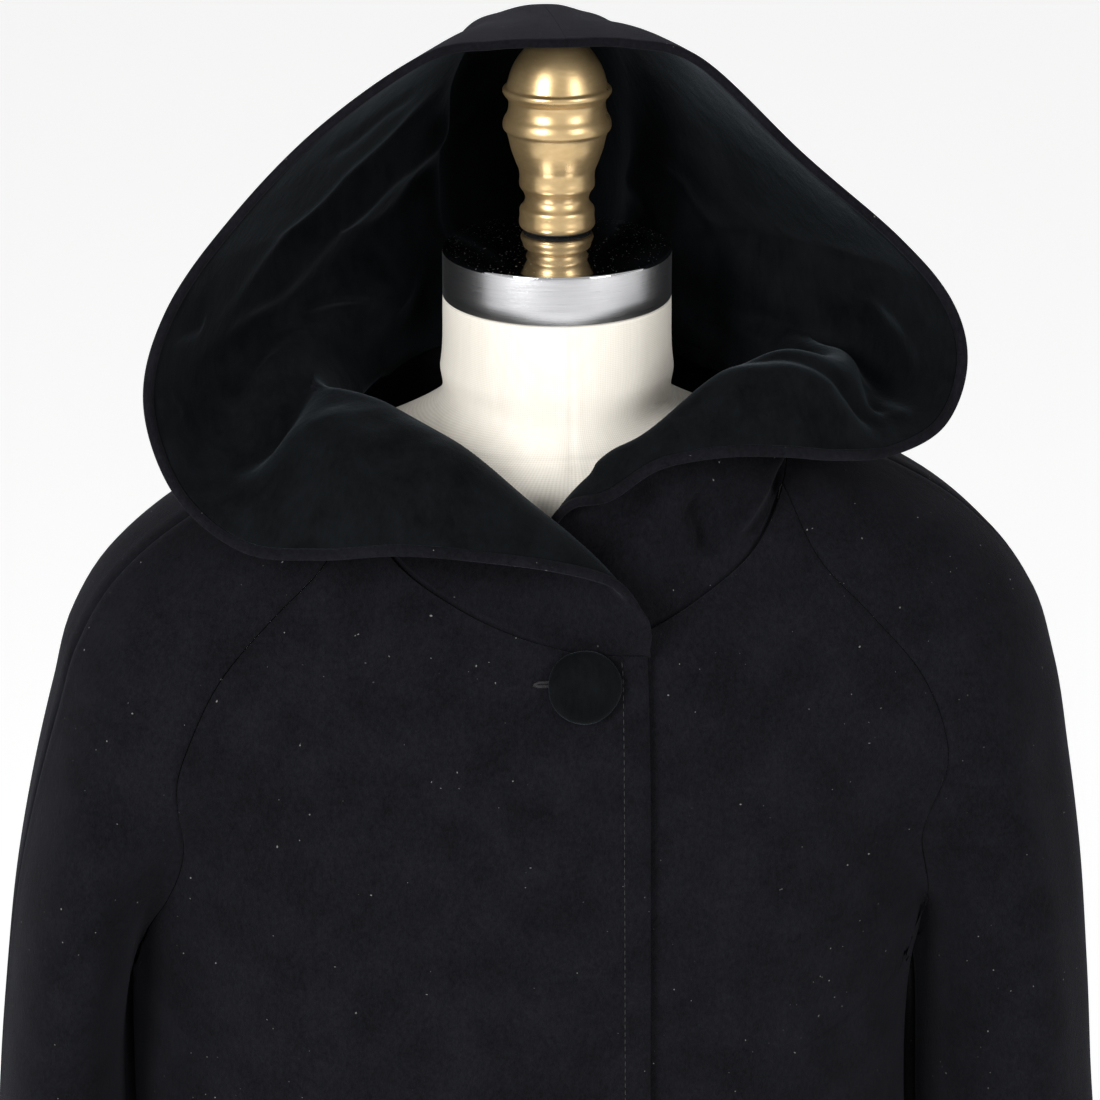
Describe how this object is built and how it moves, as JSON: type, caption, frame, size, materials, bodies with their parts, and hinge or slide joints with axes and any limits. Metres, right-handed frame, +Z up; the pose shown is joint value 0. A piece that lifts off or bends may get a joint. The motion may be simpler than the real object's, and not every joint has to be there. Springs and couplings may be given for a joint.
{
  "type": "hooded coat on a dress form",
  "caption": "Black wool swing coat with raglan sleeves, a rolled hood lined in velvet and a covered button, worn by a limbless dress form on a round stand.",
  "frame": {"origin": "on the floor, at the middle of the stand's underside", "axes": "+Z up, the coat's front faces -Y, the wearer's right is at -X"},
  "size_m": [0.6675, 0.5147, 1.6123],
  "materials": {
    "black_wool": "matte wool melton with a fine nap",
    "black_velvet": "short-pile velvet, pale where the pile is seen edge on",
    "cream_linen": "plain-woven linen stretched over the form",
    "brushed_steel": "brushed side, polished top",
    "black_rubber": "matte",
    "gold_lacquer": "satin gold lacquer",
    "painted_iron": "satin black paint"
  },
  "bodies": {
    "root": {"front_right": "black_wool", "front_left": "black_wool", "back_right": "black_wool", "back_left": "black_wool", "sleeve_right_front": "black_wool", "sleeve_right_back": "black_wool", "sleeve_left_front": "black_wool", "sleeve_left_back": "black_wool", "hood_right": "black_wool", "hood_left": "black_wool", "hood_lining_right": "black_velvet", "hood_lining_left": "black_velvet", "button": "black_velvet", "form_body": "cream_linen", "neck_cap": "brushed_steel", "finial_washer": "black_rubber", "finial": "gold_lacquer", "stand_pole": "painted_iron", "stand_base": "painted_iron"}
  },
  "joints": []
}
